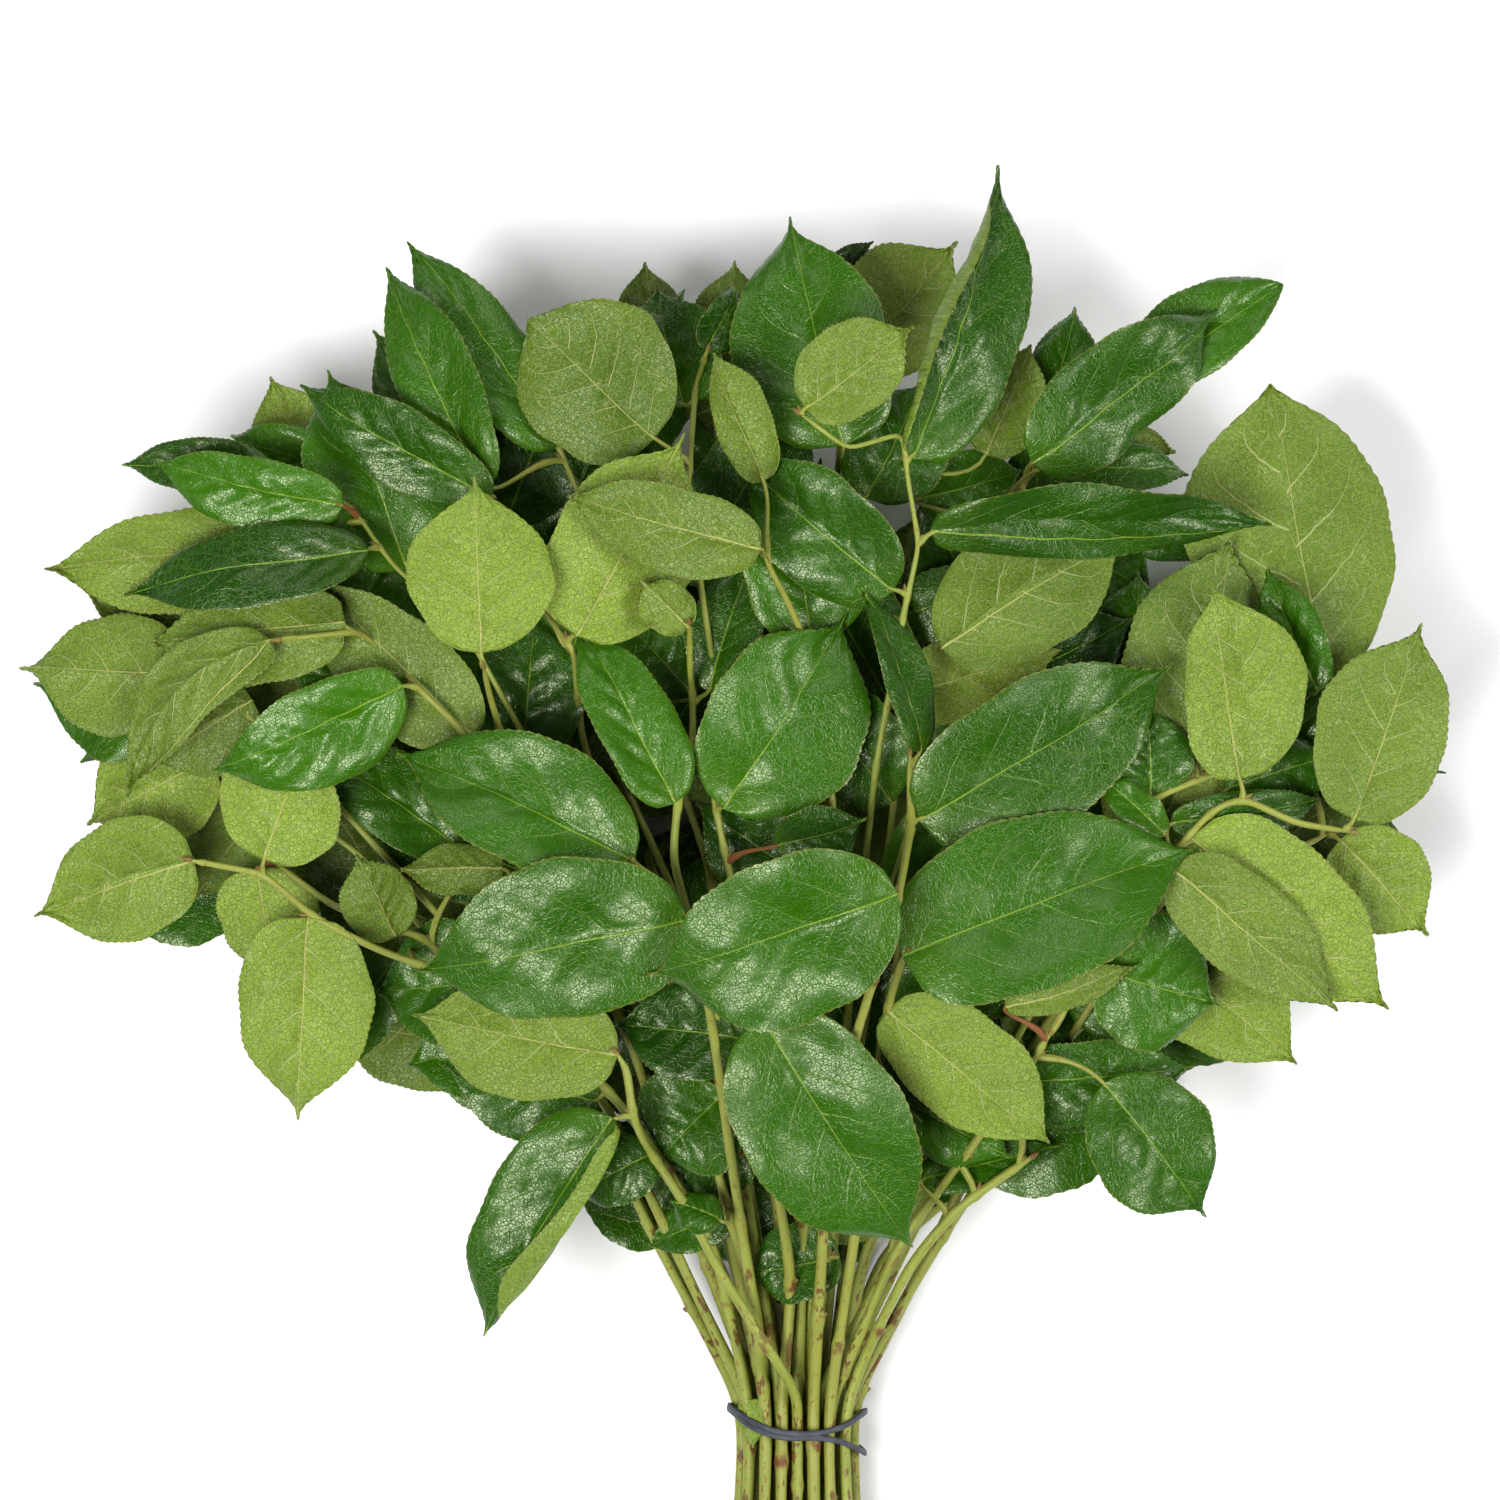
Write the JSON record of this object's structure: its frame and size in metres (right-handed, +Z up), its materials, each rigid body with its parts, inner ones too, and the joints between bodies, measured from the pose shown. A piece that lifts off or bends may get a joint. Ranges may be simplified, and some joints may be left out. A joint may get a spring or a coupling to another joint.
{
  "type": "bunch of salal tips",
  "caption": "Tied bunch of leafy salal tips lying on its side, long bare stems gathered by a thin rubber band.",
  "frame": {"origin": "on the surface that the bunch lies on, under the middle of its box", "axes": "+Y from the cut stem ends to the leaf tips, +Z up from the surface, +X to the right when seen from above with the leaf tips away"},
  "size_m": [0.5026, 0.5346, 0.1608],
  "materials": {
    "salal": "waxy green leaves, glossy above and matt below, on smooth green stems",
    "band": "matt dark grey rubber"
  },
  "bodies": {
    "root": {"rubber_band": "band", "tip_arched": "salal", "tip_crown_back": "salal", "tip_crown_glossy": "salal", "tip_crown_left": "salal", "tip_crown_pale": "salal", "tip_crown_right": "salal", "tip_far_left": "salal", "tip_far_right": "salal", "tip_front_drop": "salal", "tip_front_left": "salal", "tip_front_right": "salal", "tip_front_three": "salal", "tip_left_crown": "salal", "tip_left_edge": "salal", "tip_left_low": "salal", "tip_left_shoulder": "salal", "tip_left_twig": "salal", "tip_left_upper": "salal", "tip_low_inner": "salal", "tip_low_left_back": "salal", "tip_low_left_front": "salal", "tip_low_middle": "salal", "tip_middle_bud": "salal", "tip_middle_dark": "salal", "tip_middle_fork": "salal", "tip_middle_left": "salal", "tip_right_broad": "salal", "tip_right_fan": "salal", "tip_right_gloss": "salal", "tip_right_low": "salal", "tip_right_outer": "salal", "tip_right_pale": "salal", "tip_right_shoulder": "salal", "tip_right_twig": "salal", "tip_under_1": "salal", "tip_under_10": "salal", "tip_under_11": "salal", "tip_under_2": "salal", "tip_under_3": "salal", "tip_under_4": "salal", "tip_under_5": "salal", "tip_under_6": "salal", "tip_under_7": "salal", "tip_under_8": "salal", "tip_under_9": "salal", "tip_zigzag": "salal"}
  },
  "joints": []
}
